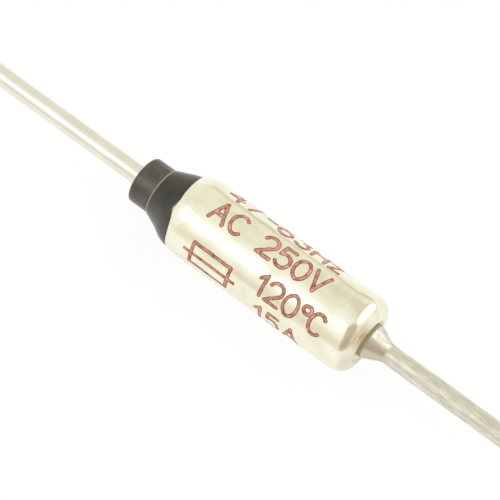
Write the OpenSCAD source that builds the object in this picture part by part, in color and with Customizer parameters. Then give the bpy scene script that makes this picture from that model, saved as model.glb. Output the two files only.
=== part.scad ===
// Thermal fuse: a one-shot axial cut-off with a meltable pellet in a metal case.
// Every piece is a turned form on one axis, which lies along X with the case lead at +X.
// The origin is on that axis, halfway between the bushing's outer end and the case's closed end.
// Sizes are in millimetres.

/* [Case] */
// Outside diameter of the case
case_d = 4; // [3.6:0.1:5]
// Length of the case, from the edge of its rolled lip to its closed end
case_len = 10.5; // [9.5:0.1:13]
// Thickness of the case wall
case_wall = 0.3; // [0.2:0.02:0.36]
// Thickness of the closed end
end_wall = 0.6; // [0.5:0.05:0.9]
// Outside rounding of the closed end's edge
end_round = 0.8; // [0.4:0.05:0.8]
// Inside rounding where the bore meets the closed end
floor_round = 0.2; // [0.1:0.05:0.3]
// Outside radius that the lip is rolled to
lip_radius = 1.9; // [1.6:0.05:2.2]
// Angle that the lip is rolled in by
lip_angle = 25; // [20:1:30]
// Angle of the lip that reaches past its seat on the bushing's shoulder
lip_overhang = 11; // [6:1:15]

/* [Leads] */
// Diameter of both lead wires
lead_d = 0.96; // [0.8:0.02:1.2]
// Length of the case lead, from the closed end to its tip
case_lead_len = 20; // [10:1:40]
// Length of the sealed lead, from the bushing's outer end to its tip
sealed_lead_len = 20; // [10:1:40]
// Chamfer on the tips of both leads
tip_chamfer = 0.08; // [0.02:0.01:0.15]
// Diameter of the case lead's flange, which seats in the closed end
flange_d = 1.76; // [1.5:0.02:1.9]
// Height of the flange's rim above the closed end
flange_proud = 0.12; // [0.04:0.02:0.2]
// Length of the taper from the flange to the wire
flare_len = 0.85; // [0.5:0.05:1.2]
// Radius that blends the taper into the wire
flare_blend = 0.5; // [0.2:0.05:0.8]
// Width of the ring-shaped recess around the flange
recess_gap = 0.24; // [0.1:0.02:0.3]
// Depth of that recess
recess_depth = 0.24; // [0.1:0.02:0.3]
// Chamfer on the recess's edge
recess_chamfer = 0.06; // [0.02:0.01:0.1]
// Diameter of the case lead's tail, which passes through the closed end
tail_d = 0.9; // [0.7:0.02:1]
// How far the tail's riveted head spreads around it, flush with the inside
rivet_spread = 0.25; // [0.1:0.05:0.4]
// Depth of the riveted head's countersink
rivet_depth = 0.2; // [0.1:0.02:0.25]
// How far the sealed lead's head stays inside the rim of the bushing's nose
head_step = 0.2; // [0.1:0.05:0.3]
// Thickness of that head
head_t = 0.4; // [0.3:0.05:0.5]
// How far the sealed lead's radius swells towards its head, inside the bushing
head_swell = 0.01; // [0.005:0.005:0.03]

/* [Pellet, springs and contact] */
// Length of the thermal pellet
pellet_len = 2.6; // [2:0.1:3]
// How far the pellet's chamfers stand clear of the bore's inside rounding
pellet_relief = 0.02; // [0.01:0.01:0.1]
// Thickness of the two pressure discs
disc_t = 0.3; // [0.2:0.02:0.4]
// Radial gap between the pellet or a disc and the bore
stack_gap = 0.06; // [0.04:0.01:0.12]
// Length of the main spring as compressed in the case
main_spring_len = 2; // [1.6:0.05:2.4]
// Wire diameter of the main spring
main_wire_d = 0.4; // [0.3:0.02:0.5]
// Gap between the main spring's turns as compressed
main_turn_gap = 0.03; // [0.02:0.01:0.1]
// Radial gap between the main spring and the bore
main_spring_gap = 0.3; // [0.15:0.05:0.4]
// Thickness of the star contact's sheet
contact_t = 0.12; // [0.08:0.01:0.16]
// Height of the star contact's petals
petal_h = 0.5; // [0.3:0.05:0.7]
// How far the petals flare out from the contact's base
petal_flare = 0.28; // [0.2:0.02:0.32]
// Radial gap between the petals' tips and the bore
petal_gap = 0.02; // [0.01:0.01:0.06]
// Number of petals
petal_count = 8; // [6:1:12]
// Width of the slots between the petals
slot_w = 0.26; // [0.15:0.01:0.35]
// Wire diameter of the trip spring
trip_wire_d = 0.2; // [0.14:0.02:0.24]
// Gap between the trip spring's turns as compressed
trip_turn_gap = 0.05; // [0.02:0.01:0.15]
// Radial gap on both sides of the trip spring, to the petals and to the bushing's nose
trip_spring_gap = 0.06; // [0.03:0.01:0.08]

/* [Bushing and resin] */
// Length of the bushing's neck that shows outside the resin, as a collar
collar_len = 1.15; // [0.6:0.05:2]
// Rounding of the neck's outer edge
neck_round = 0.18; // [0.05:0.01:0.25]
// Length of the bushing's nose, which carries the sealed lead's head
nose_len = 0.9; // [0.7:0.05:1.2]
// Gap between the bushing and the case bore
bushing_gap = 0.02; // [0.01:0.01:0.05]
// Gap between the bushing's hole and the thick end of the sealed lead
lead_gap = 0.02; // [0.01:0.01:0.05]
// Chamfer on the outer mouth of that hole
hole_chamfer = 0.06; // [0.02:0.01:0.1]
// Length of the resin cone that shows between the lip and the neck
resin_len = 1.5; // [1:0.05:2]
// Width of the resin between the lip's inner edge and the neck
resin_throat = 0.36; // [0.3:0.005:0.5]
// Thickness of the resin's thin edge on the neck
resin_edge = 0.03; // [0.01:0.01:0.08]
// Height of the lip's cut edge that the resin leaves bare
lip_bare = 0.05; // [0.01:0.01:0.1]

/* [Hidden] */
$fn = 96;

// Sides of a spring wire's section, and sections to a turn
wire_sides = 8;
turn_steps = 24;

// Places along the axis, from the bushing's outer end to the closed end
body_len = collar_len + resin_len + case_len;
x_neck_end = -body_len / 2;
x_resin_top = x_neck_end + collar_len;
x_lip = x_resin_top + resin_len;
x_end = x_lip + case_len;

// The stack inside, from the closed end back to the bushing
x_floor = x_end - end_wall;
x_pellet = x_floor - pellet_len;
x_pellet_disc = x_pellet - disc_t;
x_main_spring = x_pellet_disc - main_spring_len;
x_contact_disc = x_main_spring - disc_t;
x_contact = x_contact_disc - contact_t;
x_nose = x_contact - head_t;
x_bushing_face = x_nose - nose_len;

// Radii of the wires, of the case and of what fits its bore, from the bore inwards
lead_r = lead_d / 2;
case_r = case_d / 2;
bore_r = case_r - case_wall;
bushing_r = bore_r - bushing_gap;
disc_r = bore_r - stack_gap;
main_coil_r = bore_r - main_spring_gap - main_wire_d / 2;
petal_tip_r = bore_r - petal_gap;
petal_base_r = petal_tip_r - petal_flare;
trip_coil_r = petal_base_r - contact_t - trip_spring_gap - trip_wire_d / 2;
nose_r = trip_coil_r - trip_wire_d / 2 - trip_spring_gap;
head_r = nose_r - head_step;

// The rolled lip: its arc's centre and inside radius, its inner corner and how far the resin covers its edge
lip_centre = [case_r - lip_radius, x_lip + lip_radius * sin(lip_angle)];
lip_inner = lip_radius - case_wall;
lip_edge_way = [cos(lip_angle), -sin(lip_angle)];
lip_corner = lip_centre + lip_inner * lip_edge_way;
lip_cover = lip_centre + (lip_radius - lip_bare) * lip_edge_way;

// The bushing's shoulder under the lip, its neck and its hole
seat_angle = lip_angle - lip_overhang;
x_shoulder = lip_centre[1] - (lip_inner - bushing_gap) * sin(seat_angle);
neck_r = lip_corner[0] - resin_throat;
hole_r = lead_r + head_swell + lead_gap;

// The case lead: flange, taper with its blend, tail and tip
flange_r = flange_d / 2;
recess_r = flange_r + recess_gap;
tail_r = tail_d / 2;
rivet_r = tail_r + rivet_spread;
x_recess = x_end - recess_depth;
x_rim = x_end + flange_proud;
x_flare = x_rim + flare_len;
flare_angle = atan((flange_r - lead_r) / flare_len);
blend_centre = [lead_r + flare_blend, x_flare + flare_blend * tan(flare_angle / 2)];
blend_start = blend_centre - flare_blend * [cos(flare_angle), sin(flare_angle)];
x_case_tip = x_end + case_lead_len;
x_sealed_tip = x_neck_end - sealed_lead_len;

// The pellet's chamfer, which clears the bore's inside rounding
pellet_chamfer = floor_round + pellet_relief;

// Turns a profile drawn as [radius, place along the axis] about the X axis
module turned() rotate([0, 90, 0]) rotate_extrude() children();

// A rectangle from the axis, or from r0, out to r1, between two places along the axis
module band(r1, x0, x1, r0 = 0) translate([r0, x0]) square([r1 - r0, x1 - x0]);

// A band that narrows or widens from r0 at x0 to r1 at x1
module taper(r0, x0, r1, x1) polygon([[0, x0], [r0, x0], [r1, x1], [0, x1]]);

// A band with a round corner at its x1 end
module rounded_band(r1, x0, x1, round_r) {
    band(r1, x0, x1 - round_r);
    band(r1 - round_r, x0, x1);
    translate([r1 - round_r, x1 - round_r]) circle(round_r);
}

// The rolled lip, from its tangent on the case barrel to its cut edge
module lip_sector() {
    reach = 2 * lip_radius;
    translate(lip_centre) intersection() {
        difference() {
            circle(lip_radius);
            circle(lip_inner);
        }
        polygon([[0, 0], [reach, 0], reach * lip_edge_way]);
    }
}

// Points of a coil's wire sections, one ring to each step along its turns
function coil_points(coil_r, wire_r, turns, steps, rise) = [
    for (step = [0 : steps])
        let (turned_by = 360 * turns * step / steps, height = wire_r + rise * step / steps)
            for (side = [0 : wire_sides - 1])
                let (around = 360 * side / wire_sides, r = coil_r + wire_r * cos(around))
                    [r * cos(turned_by), r * sin(turned_by), height + wire_r * sin(around)]
];

// Faces that join each section to the next, with a flat cap at both ends
function coil_faces(steps) = concat(
    [[for (side = [0 : wire_sides - 1]) side]],
    [[for (side = [wire_sides - 1 : -1 : 0]) steps * wire_sides + side]],
    [
        for (step = [0 : steps - 1], side = [0 : wire_sides - 1])
            let (next = (side + 1) % wire_sides, a = step * wire_sides, b = a + wire_sides)
                each [[a + side, b + side, b + next], [a + side, b + next, a + next]]
    ]
);

// A compressed coil spring on the axis, from x0 to x1, with as many turns as its gap allows
module spring(coil_r, wire_d, turn_gap, x0, x1) {
    rise = x1 - x0 - wire_d;
    turns = rise / (wire_d + turn_gap);
    steps = ceil(turns * turn_steps);
    rotate([0, 90, 0]) translate([0, 0, x0])
        polyhedron(coil_points(coil_r, wire_d / 2, turns, steps, rise), coil_faces(steps));
}

// Deep-drawn silver-plated cup, pierced for the lead and rolled in over the bushing
module case() color("#d9d4c2") turned() difference() {
    union() {
        rounded_band(case_r, lip_centre[1], x_end, end_round);
        lip_sector();
    }
    rounded_band(bore_r, lip_centre[1], x_floor, floor_round);
    band(recess_r, x_recess, x_end);
    taper(recess_r, x_end - recess_chamfer, recess_r + recess_chamfer, x_end);
    band(tail_r, x_floor, x_end);
    taper(rivet_r, x_floor, tail_r, x_floor + rivet_depth);
}

// Tinned wire with an upset flange outside the closed end and a riveted tail inside it
module case_lead() color("#c9c5b4") turned() {
    polygon([
        [0, x_floor],
        [rivet_r, x_floor],
        [tail_r, x_floor + rivet_depth],
        [tail_r, x_recess],
        [flange_r, x_recess],
        [flange_r, x_rim],
        [lead_r, x_flare],
        [lead_r, x_case_tip - tip_chamfer],
        [lead_r - tip_chamfer, x_case_tip],
        [0, x_case_tip]
    ]);
    difference() {
        polygon([[0, blend_start[1]], blend_start, blend_centre, [0, blend_centre[1]]]);
        translate(blend_centre) circle(flare_blend);
    }
}

// Pressed organic pellet that melts at the rated temperature
module thermal_pellet() color("#e9e3c8") turned() polygon([
    [0, x_pellet],
    [disc_r - pellet_chamfer, x_pellet],
    [disc_r, x_pellet + pellet_chamfer],
    [disc_r, x_floor - pellet_chamfer],
    [disc_r - pellet_chamfer, x_floor],
    [0, x_floor]
]);

// Stamped pressure disc, one on the pellet and one behind the contact
module pressure_disc(x0) color("#c8a45a") turned() band(disc_r, x0, x0 + disc_t);

module pellet_disc() pressure_disc(x_pellet_disc);

module contact_disc() pressure_disc(x_contact_disc);

// Strong spring that holds the contact closed while the pellet is solid
module main_spring() color("#8f8f8c")
    spring(main_coil_r, main_wire_d, main_turn_gap, x_main_spring, x_pellet_disc);

// Weak spring that throws the contact open once the pellet has melted
module trip_spring() color("#a3a3a0")
    spring(trip_coil_r, trip_wire_d, trip_turn_gap, x_bushing_face, x_contact);

// Sheet-silver star: a flat base with petals that flare out to wipe the case bore
module star_contact() color("#e4e2da") difference() {
    turned() polygon([
        [0, x_contact_disc],
        [petal_base_r, x_contact_disc],
        [petal_tip_r, x_contact - petal_h],
        [petal_tip_r - contact_t, x_contact - petal_h],
        [petal_base_r - contact_t, x_contact],
        [0, x_contact]
    ]);
    for (slot = [0 : petal_count - 1])
        rotate([360 * slot / petal_count, 0, 0])
            translate([x_contact - petal_h - slot_w, -slot_w / 2, petal_base_r - contact_t])
                cube([petal_h + contact_t + 2 * slot_w, slot_w, bore_r]);
}

// Glazed ceramic bushing: a flange under the rolled lip, a neck outside and a nose inside
module bushing() color("#4b3f3a") turned() difference() {
    union() {
        band(bushing_r, lip_centre[1], x_bushing_face);
        intersection() {
            translate(lip_centre) circle(lip_inner - bushing_gap);
            band(bushing_r, x_shoulder, x_bushing_face);
        }
        mirror([0, 1]) rounded_band(neck_r, -x_bushing_face, -x_neck_end, neck_round);
        band(nose_r, x_shoulder, x_nose);
    }
    band(hole_r, x_neck_end, x_nose);
    taper(hole_r + hole_chamfer, x_neck_end, hole_r, x_neck_end + hole_chamfer);
}

// Silver-plated wire with a flat head that the contact presses on
module sealed_lead() color("#dad7cb") turned() polygon([
    [0, x_sealed_tip],
    [lead_r - tip_chamfer, x_sealed_tip],
    [lead_r, x_sealed_tip + tip_chamfer],
    [lead_r, x_neck_end],
    [lead_r + head_swell, x_nose],
    [head_r, x_nose],
    [head_r, x_contact],
    [0, x_contact]
]);

// Cast resin that fills the lip around the neck and runs up it as a cone
module resin_seal() color("#3a3c37") turned() difference() {
    polygon([
        [neck_r, x_shoulder],
        [case_r - case_wall / 2, x_shoulder],
        lip_cover,
        [neck_r + resin_edge, x_resin_top],
        [neck_r, x_resin_top]
    ]);
    lip_sector();
}

case();
case_lead();
thermal_pellet();
pellet_disc();
main_spring();
contact_disc();
star_contact();
trip_spring();
bushing();
sealed_lead();
resin_seal();
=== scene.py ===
"""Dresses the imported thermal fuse: plated metal, cast resin, glazed ceramic and a printed rating."""

import logging
import math
from dataclasses import dataclass
from enum import Enum
from typing import Callable, NamedTuple, Optional, Sequence

import bpy
import numpy as np
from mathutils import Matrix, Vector, noise


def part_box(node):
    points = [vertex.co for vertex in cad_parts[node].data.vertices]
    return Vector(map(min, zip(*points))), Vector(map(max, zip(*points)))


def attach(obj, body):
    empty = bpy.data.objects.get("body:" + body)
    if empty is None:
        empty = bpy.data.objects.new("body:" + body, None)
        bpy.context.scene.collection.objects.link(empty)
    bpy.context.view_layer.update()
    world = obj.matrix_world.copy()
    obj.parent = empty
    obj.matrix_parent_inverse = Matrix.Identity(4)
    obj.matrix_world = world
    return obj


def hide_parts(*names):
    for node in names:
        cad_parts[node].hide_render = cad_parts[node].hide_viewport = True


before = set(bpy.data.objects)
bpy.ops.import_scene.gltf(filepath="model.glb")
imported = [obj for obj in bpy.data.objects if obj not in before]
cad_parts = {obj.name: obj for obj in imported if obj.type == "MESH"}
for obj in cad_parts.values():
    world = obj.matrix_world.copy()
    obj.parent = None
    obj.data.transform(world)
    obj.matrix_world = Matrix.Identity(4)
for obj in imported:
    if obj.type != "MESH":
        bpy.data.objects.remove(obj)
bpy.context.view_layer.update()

LOG = logging.getLogger("thermal_fuse")
MM = 0.001

Values = np.ndarray
Point = tuple[float, float]
Corner = tuple[float, float, float]
Colour = tuple[float, float, float, float]

# The photograph's view, from above and to the case lead's side.
VIEW_AZIMUTH = math.radians(38.66)
VIEW_ELEVATION = math.radians(65.0)
VIEW_BACK = (math.sin(VIEW_AZIMUTH) * math.cos(VIEW_ELEVATION),
             -math.cos(VIEW_AZIMUTH) * math.cos(VIEW_ELEVATION), math.sin(VIEW_ELEVATION))
VIEW_DISTANCE_MM = 100.5
VIEW_LENS_MM = 158.4
VIEW_AIM_MM = (-0.405, 0.211, 0.077)

# Turn about the axis at which the case faces that view, from +Y towards +Z.
FACING_TURN = math.degrees(math.atan2(VIEW_BACK[2], VIEW_BACK[1]))

# A mesh's longest step round an arc, the bend that stays sharp, and a radius that counts as on the axis.
ARC_STEP_DEG = 7.0
SHARP_ANGLE = math.radians(32)
ON_AXIS = 1e-9
# Mesh attribute, from 0 to 1, that brings in a finish's edge colours.
EDGE_SHARE = "edge_share"


class Places(NamedTuple):
    """Points of a turned form: x and radius in millimetres, and turn about the axis in radians."""

    x: Values
    radius: Values
    turn: Values

    @property
    def from_view(self) -> Values:
        """Turns from the side that faces the view, in degrees from -180 to 180."""
        return (np.degrees(self.turn) - FACING_TURN + 180) % 360 - 180

    def facing(self, side: float) -> Values:
        """Gives how far each point faces a side, in degrees from the view: 1 there and -1 opposite."""
        return np.cos(self.turn - math.radians(FACING_TURN + side))

    def points(self) -> Values:
        """Gives the points as rows of x, y and z in metres."""
        across = self.radius * np.cos(self.turn), self.radius * np.sin(self.turn)
        return np.column_stack([self.x, *across]) * MM


Wobble = Callable[[Places], Places]
Share = Callable[[Places], Values]


def ramp(value: Values, start: float, stop: float) -> Values:
    """Rises from 0 at start to 1 at stop, and stays level past them."""
    return np.clip((value - start) / (stop - start), 0, 1)


def cloud(spots: Values, size: float) -> Values:
    """Gives smooth noise, from about -1 to 1, at rows of x, y and z, in clouds of a size."""
    return np.array([noise.noise(Vector(spot) / size) for spot in spots.tolist()])


def waves(first: Values, second: Values) -> Values:
    """Mixes two waves, given by their angles in radians, into dips from 0 to 1."""
    return 0.5 + 0.3 * np.cos(first) + 0.2 * np.cos(second)


def linear(hex_colour: str) -> Colour:
    """Turns an sRGB hex colour into a linear one.

    Args:
        hex_colour: Six hex digits after a hash sign.

    Returns:
        Linear red, green, blue and an alpha of 1.
    """
    parts = [int(hex_colour[i:i + 2], 16) / 255 for i in (1, 3, 5)]
    red, green, blue = [c / 12.92 if c <= 0.04045 else ((c + 0.055) / 1.055) ** 2.4 for c in parts]
    return red, green, blue, 1.0


def per_mm(size_mm: float) -> float:
    """Gives the texture scale whose pattern repeats about every size_mm."""
    return 1 / (size_mm * MM)


def add_node(tree: bpy.types.NodeTree, kind: str, settings: Optional[dict] = None,
             links: Optional[dict] = None) -> bpy.types.Node:
    """Adds a node with its settings and links.

    Args:
        tree: The node tree that gets the node.
        kind: The node's type name, such as ShaderNodeBump.
        settings: Values by property name, by input name or number, or colour stops under "stops".
        links: Output sockets by the input name or number that each goes to.

    Returns:
        The new node.
    """
    node = tree.nodes.new(kind)
    for key, value in (settings or {}).items():
        if key == "stops":
            stops = node.color_ramp.elements
            while len(stops) < len(value):
                stops.new(1.0)
            for stop, (position, colour) in zip(stops, value):
                stop.position = position
                stop.color = colour
        elif isinstance(key, str) and hasattr(node, key):
            setattr(node, key, value)
        else:
            node.inputs[key].default_value = value
    for key, socket in (links or {}).items():
        tree.links.new(socket, node.inputs[key])
    return node


def new_material(name: str) -> tuple[bpy.types.Material, bpy.types.NodeTree]:
    """Makes an empty node material.

    Args:
        name: The material's name.

    Returns:
        The material and its node tree.
    """
    material = bpy.data.materials.new(name)
    material.use_nodes = True
    material.node_tree.nodes.clear()
    return material, material.node_tree


def edge_mixed(tree: bpy.types.NodeTree, colour: bpy.types.NodeSocket,
               edge: tuple[str, ...]) -> bpy.types.NodeSocket:
    """Mixes in a finish's edge colours by the mesh attribute.

    Args:
        tree: The material's node tree.
        colour: The finish's own colour.
        edge: The colours, in hex, at even steps of the attribute, the last where it is 1.

    Returns:
        The mixed colour.
    """
    share = add_node(tree, "ShaderNodeAttribute", {"attribute_name": EDGE_SHARE}).outputs["Fac"]
    stops = [((k + 1) / len(edge), linear(colour_hex)) for k, colour_hex in enumerate(edge)]
    other = add_node(tree, "ShaderNodeValToRGB", {"stops": stops}, {"Fac": share}).outputs["Color"]
    factor = add_node(tree, "ShaderNodeMapRange", {"From Max": 1 / len(edge)},
                      {"Value": share}).outputs["Result"]
    return add_node(tree, "ShaderNodeMix", {"data_type": "RGBA"},
                    {"Factor": factor, 6: colour, 7: other}).outputs[2]


@dataclass(frozen=True)
class MetalFinish:
    """A bare or plated metal with cloudy smudges, and drawing or rolling marks along the fuse.

    Smudges and the length of marks are real sizes. Real marks are too narrow to show in the render, so
    mark_width_mm is drawn several times coarser.
    """

    name: str
    clean: str
    dull: str
    roughness: Point
    smudge_mm: float
    mark_length_mm: float
    mark_width_mm: float
    mark_depth_mm: float
    mark_share: float
    edge: tuple[str, ...] = ()

    def material(self) -> bpy.types.Material:
        """Builds the node material for this finish.

        Returns:
            The new material.
        """
        material, tree = new_material(self.name)
        place = add_node(tree, "ShaderNodeTexCoord").outputs["Object"]
        smudge = add_node(tree, "ShaderNodeTexNoise",
                          {"Scale": per_mm(self.smudge_mm), "Detail": 3.0, "Roughness": 0.55},
                          {"Vector": place}).outputs["Fac"]
        across = per_mm(self.mark_width_mm)
        stretch = add_node(tree, "ShaderNodeMapping",
                           {"Scale": (per_mm(self.mark_length_mm), across, across)},
                           {"Vector": place}).outputs["Vector"]
        marks = add_node(tree, "ShaderNodeTexNoise", {"Scale": 1.0, "Detail": 4.0, "Roughness": 0.6},
                         {"Vector": stretch}).outputs["Fac"]
        blotch = add_node(tree, "ShaderNodeMapRange",
                          {"From Min": 0.36, "From Max": 0.68}, {"Value": smudge}).outputs["Result"]
        streak = add_node(tree, "ShaderNodeMapRange",
                          {"From Min": 0.38, "From Max": 0.62}, {"Value": marks}).outputs["Result"]
        dulling = add_node(tree, "ShaderNodeMix", {"data_type": "FLOAT", "Factor": self.mark_share},
                           {2: blotch, 3: streak}).outputs[0]
        colour = add_node(tree, "ShaderNodeValToRGB",
                          {"stops": [(0.0, linear(self.clean)), (1.0, linear(self.dull))]},
                          {"Fac": dulling}).outputs["Color"]
        if self.edge:
            colour = edge_mixed(tree, colour, self.edge)
        low, high = self.roughness
        rough = add_node(tree, "ShaderNodeMapRange", {"To Min": low, "To Max": high},
                         {"Value": dulling}).outputs["Result"]
        bump = add_node(tree, "ShaderNodeBump", {"Strength": 1.0, "Distance": self.mark_depth_mm * MM},
                        {"Height": marks}).outputs["Normal"]
        shader = add_node(tree, "ShaderNodeBsdfPrincipled", {"Metallic": 1.0},
                          {"Base Color": colour, "Roughness": rough, "Normal": bump})
        add_node(tree, "ShaderNodeOutputMaterial", links={"Surface": shader.outputs[0]})
        return material


@dataclass(frozen=True)
class BodyFinish:
    """A non-metal with mottled colour and a fine grain, and edge colours where the mesh asks for them.

    Mottling is a real size. Real grain is too fine to show in the render, so grain_mm is drawn coarser.
    """

    name: str
    light: str
    dark: str
    roughness: Point
    ior: float
    mottle_mm: float
    grain_mm: float
    grain_depth_mm: float
    edge: tuple[str, ...] = ()

    def material(self) -> bpy.types.Material:
        """Builds the node material for this finish.

        Returns:
            The new material.
        """
        material, tree = new_material(self.name)
        place = add_node(tree, "ShaderNodeTexCoord").outputs["Object"]
        mottle = add_node(tree, "ShaderNodeTexNoise", {"Scale": per_mm(self.mottle_mm), "Detail": 3.0},
                          {"Vector": place}).outputs["Fac"]
        grain = add_node(tree, "ShaderNodeTexNoise", {"Scale": per_mm(self.grain_mm), "Detail": 4.0},
                         {"Vector": place}).outputs["Fac"]
        colour = add_node(tree, "ShaderNodeValToRGB",
                          {"stops": [(0.32, linear(self.dark)), (0.68, linear(self.light))]},
                          {"Fac": mottle}).outputs["Color"]
        if self.edge:
            colour = edge_mixed(tree, colour, self.edge)
        low, high = self.roughness
        rough = add_node(tree, "ShaderNodeMapRange",
                         {"From Min": 0.3, "From Max": 0.7, "To Min": low, "To Max": high},
                         {"Value": grain}).outputs["Result"]
        bump = add_node(tree, "ShaderNodeBump", {"Strength": 1.0, "Distance": self.grain_depth_mm * MM},
                        {"Height": grain}).outputs["Normal"]
        shader = add_node(tree, "ShaderNodeBsdfPrincipled", {"IOR": self.ior},
                          {"Base Color": colour, "Roughness": rough, "Normal": bump})
        add_node(tree, "ShaderNodeOutputMaterial", links={"Surface": shader.outputs[0]})
        return material


class PaintedEndLight(Enum):
    """Edge share at which each kind of painted light on the case's closed end shows in full, in the order
    of its colours.
    """

    LOW_SIDE_SHADE = 0.25
    RING_REFLECTION = 0.5
    RECESS_SHADE = 0.75
    RIM_SHADE = 1.0


# Silver plating on drawn brass, slightly yellowed: a creamy soft mirror with cloudy patches.
# On the closed end its edge colours are painted light: painted shade on the low side, a painted
# coppery-tan reflection round the recess, a creamy painted shade in it, and a painted olive shade line at
# its rim.
SILVER_PLATED_CASE = MetalFinish(
    "silver_plated_drawn_brass", clean="#fbf9e5", dull="#f0ecd5", roughness=(0.08, 0.22), smudge_mm=1.0,
    mark_length_mm=5.0, mark_width_mm=0.12, mark_depth_mm=0.0004, mark_share=0.12,
    edge=("#e3dfcc", "#dcc3ab", "#e2dfc9", "#a89b77"))
# Bright silver plating on copper wire: a clear white mirror with a long sharp highlight.
SILVER_PLATED_WIRE = MetalFinish(
    "silver_plated_copper_wire", clean="#f3f1e7", dull="#e7e4d4", roughness=(0.18, 0.27), smudge_mm=2.2,
    mark_length_mm=8.0, mark_width_mm=0.08, mark_depth_mm=0.0004, mark_share=0.4)
# Dull tin plating on copper wire: a soft grey sheen broken by short drawing marks, with painted shade on
# one side of the flare and a painted olive shade on the flange's edge.
TIN_PLATED_WIRE = MetalFinish(
    "tin_plated_copper_wire", clean="#eeebdd", dull="#cac7b6", roughness=(0.27, 0.42), smudge_mm=0.5,
    mark_length_mm=0.8, mark_width_mm=0.1, mark_depth_mm=0.002, mark_share=0.7,
    edge=("#cdc7b3", "#b8ae90"))
# Stamped brass: yellow satin with rolling lines.
STAMPED_BRASS = MetalFinish(
    "stamped_brass", clean="#d8bd78", dull="#b8954c", roughness=(0.25, 0.38), smudge_mm=0.8,
    mark_length_mm=2.0, mark_width_mm=0.05, mark_depth_mm=0.001, mark_share=0.4)
# Drawn spring steel: grey satin wire.
DRAWN_SPRING_STEEL = MetalFinish(
    "drawn_spring_steel", clean="#a6a6a2", dull="#7f7f7c", roughness=(0.28, 0.4), smudge_mm=0.6,
    mark_length_mm=0.6, mark_width_mm=0.03, mark_depth_mm=0.0008, mark_share=0.4)
# Rolled sheet silver: pale bright sheet with faint rolling lines.
ROLLED_SHEET_SILVER = MetalFinish(
    "rolled_sheet_silver", clean="#f3f0e6", dull="#ded9c9", roughness=(0.18, 0.3), smudge_mm=0.8,
    mark_length_mm=2.0, mark_width_mm=0.05, mark_depth_mm=0.0006, mark_share=0.4)
# Cast sealing resin: near-black with a green cast and wet gloss; its edge colours are a painted highlight
# along its feather edge on the collar, a painted reflection of the floor on its low side, and a grey
# smear.
CAST_SEALING_RESIN = BodyFinish(
    "cast_sealing_resin", light="#35362d", dark="#272821", roughness=(0.14, 0.28), ior=1.52,
    mottle_mm=0.7, grain_mm=0.25, grain_depth_mm=0.003, edge=("#8f8e84", "#bcbab0"))
# Dark glazed ceramic: brown with a soft broad sheen.
GLAZED_CERAMIC = BodyFinish(
    "dark_glazed_ceramic", light="#52473b", dark="#3c3229", roughness=(0.1, 0.22), ior=1.7,
    mottle_mm=0.5, grain_mm=0.12, grain_depth_mm=0.003)
# Pressed organic powder: chalky cream.
PRESSED_PELLET = BodyFinish(
    "pressed_organic_powder", light="#efe9d2", dark="#ddd4b6", roughness=(0.7, 0.85), ior=1.5,
    mottle_mm=0.3, grain_mm=0.08, grain_depth_mm=0.006)
# Pad-printed enamel ink: red-brown, thin in the middle of a stroke and darker at its squeezed-out rim.
PAD_PRINTED_INK = BodyFinish(
    "pad_printed_ink", light="#eeb8a4", dark="#a3523e", roughness=(0.4, 0.55), ior=1.5,
    mottle_mm=0.22, grain_mm=0.06, grain_depth_mm=0.002, edge=("#9c5846", "#6e3425"))


def rounded_outline(corners: Sequence[Corner], closed: bool, spacing: float) -> Values:
    """Draws a profile through corners, each rounded to its own radius.

    Args:
        corners: (x, radius from the axis, rounding) for each corner, in millimetres.
        closed: Whether the last corner joins the first.
        spacing: The longest step along a straight stretch, in millimetres.

    Returns:
        The profile's points as rows of x and radius.
    """
    spots = [np.array(corner[:2]) for corner in corners]
    count = len(spots)
    points: list[Values] = []
    for index, (spot, corner) in enumerate(zip(spots, corners)):
        rounding = corner[2]
        if rounding <= 0 or (not closed and index in (0, count - 1)):
            points.append(spot)
            continue
        before, after = spots[index - 1] - spot, spots[(index + 1) % count] - spot
        before, after = before / np.linalg.norm(before), after / np.linalg.norm(after)
        half = math.acos(float(np.clip(before @ after, -1, 1))) / 2
        centre = spot + (before + after) / np.linalg.norm(before + after) * rounding / math.sin(half)
        start = spot + before * rounding / math.tan(half) - centre
        stop = spot + after * rounding / math.tan(half) - centre
        sweep = math.pi - 2 * half
        steps = max(3, math.ceil(math.degrees(sweep) / ARC_STEP_DEG))
        for share in np.linspace(0, 1, steps + 1):
            swept = start * math.sin((1 - share) * sweep) + stop * math.sin(share * sweep)
            points.append(centre + swept / math.sin(sweep))
    if closed:
        points.append(points[0])
    drawn: list[Values] = []
    for first, second in zip(points, points[1:]):
        pieces = max(1, math.ceil(float(np.linalg.norm(second - first)) / spacing))
        drawn += [first + (second - first) * k / pieces for k in range(pieces)]
    if not closed:
        drawn.append(points[-1])
    return np.array(drawn)


def mesh_object(name: str, points: Values, faces: Sequence[Sequence[int]],
                edge_share: Optional[Values] = None) -> bpy.types.Object:
    """Makes a smooth-shaded mesh object with its sharp corners kept.

    Args:
        name: The object's name.
        points: Rows of x, y and z in metres.
        faces: Point numbers of each face.
        edge_share: The edge colours' share at each point.

    Returns:
        The new object, in the scene.
    """
    mesh = bpy.data.meshes.new(name)
    mesh.from_pydata(points.tolist(), [], faces)
    mesh.validate()
    mesh.shade_smooth()
    mesh.set_sharp_from_angle(angle=SHARP_ANGLE)
    if edge_share is not None:
        layer = mesh.attributes.new(EDGE_SHARE, "FLOAT", "POINT")
        layer.data.foreach_set("value", edge_share.astype(np.float32))
    obj = bpy.data.objects.new(name, mesh)
    bpy.context.scene.collection.objects.link(obj)
    return obj


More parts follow.
